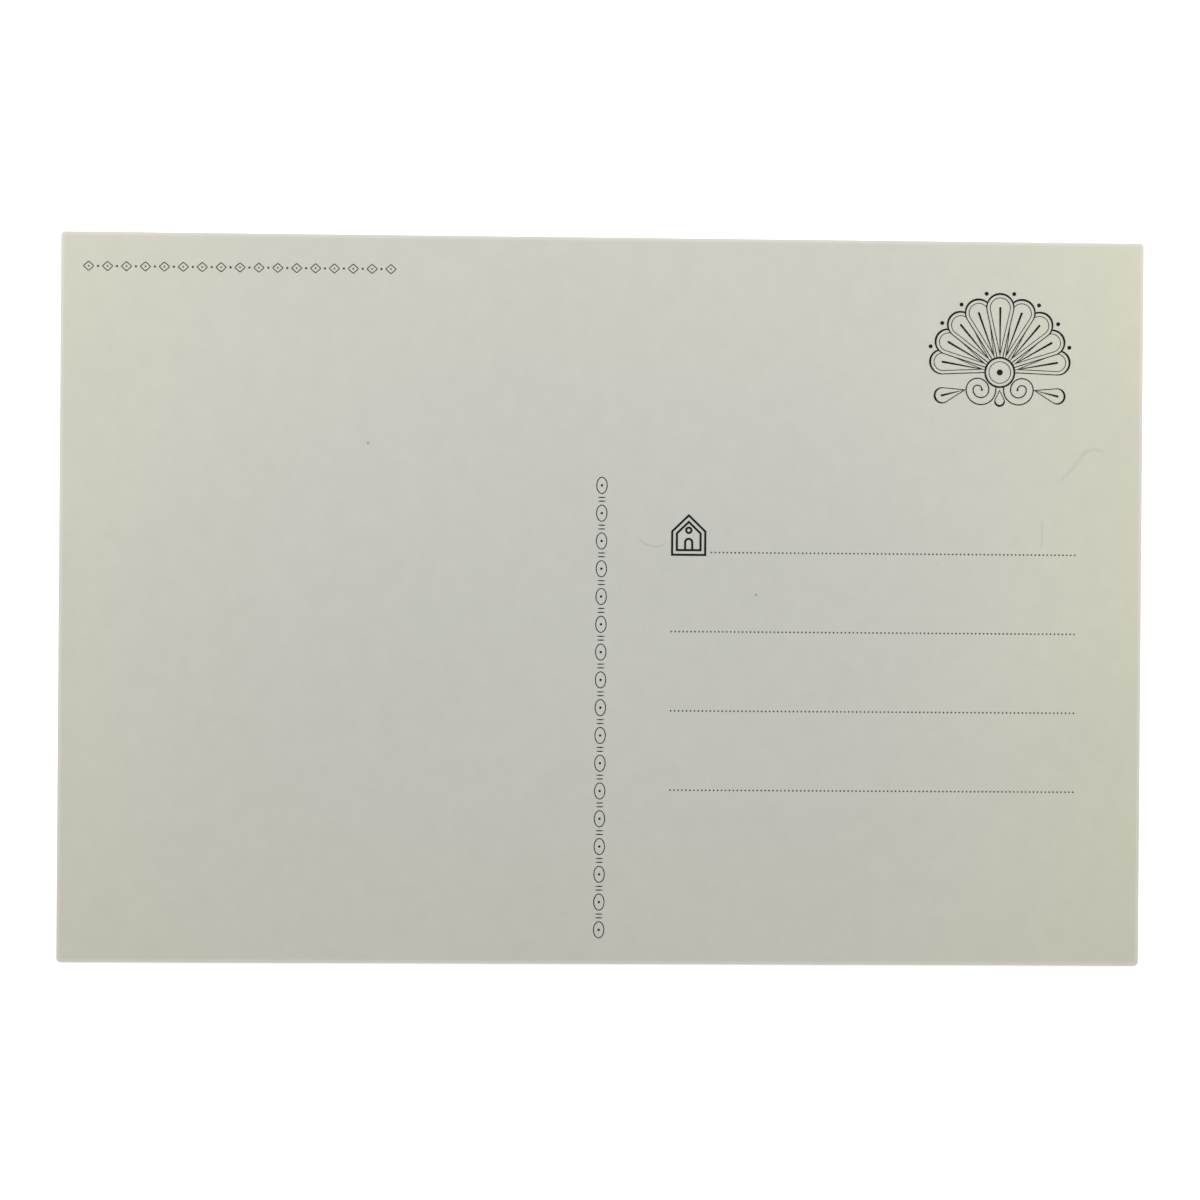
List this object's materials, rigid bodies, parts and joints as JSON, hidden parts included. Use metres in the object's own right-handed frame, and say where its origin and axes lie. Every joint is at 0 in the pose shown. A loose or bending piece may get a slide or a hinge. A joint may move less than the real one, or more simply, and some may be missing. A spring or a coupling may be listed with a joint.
{
  "type": "postcard",
  "caption": "Flat postcard of layered board with blunted corners; dotted address lines, divider and stamp ornament printed on the uncoated side, glossy picture on the other.",
  "frame": {"origin": "middle of the picture-side face, which the card lies on", "axes": "+X along the long edge to the right as the address side is read, +Y up the address side, +Z out of the address side"},
  "size_m": [0.152, 0.102, 0.0004],
  "materials": {
    "clear_film": "clear gloss film, bonded over the picture",
    "picture_ink": "offset-printed picture, full bleed",
    "clay_coat": "smooth white clay coating",
    "bleached_ply": "bleached paper ply",
    "core_ply": "paper ply, fibres showing on the cut edge",
    "uncoated_ply": "matt uncoated paper, warm off-white",
    "black_ink": "matt black printing ink",
    "grey_ink": "matt dark grey printing ink"
  },
  "bodies": {
    "root": {"gloss_film": "clear_film", "picture_ink": "picture_ink", "clay_coat": "clay_coat", "picture_ply": "bleached_ply", "core_ply": "core_ply", "address_ply": "uncoated_ply", "address_line_1": "grey_ink", "address_line_2": "grey_ink", "address_line_3": "grey_ink", "address_line_4": "grey_ink", "divider_rule": "black_ink", "caption_rule": "grey_ink", "address_mark": "black_ink", "stamp_ornament": "black_ink"}
  },
  "joints": []
}
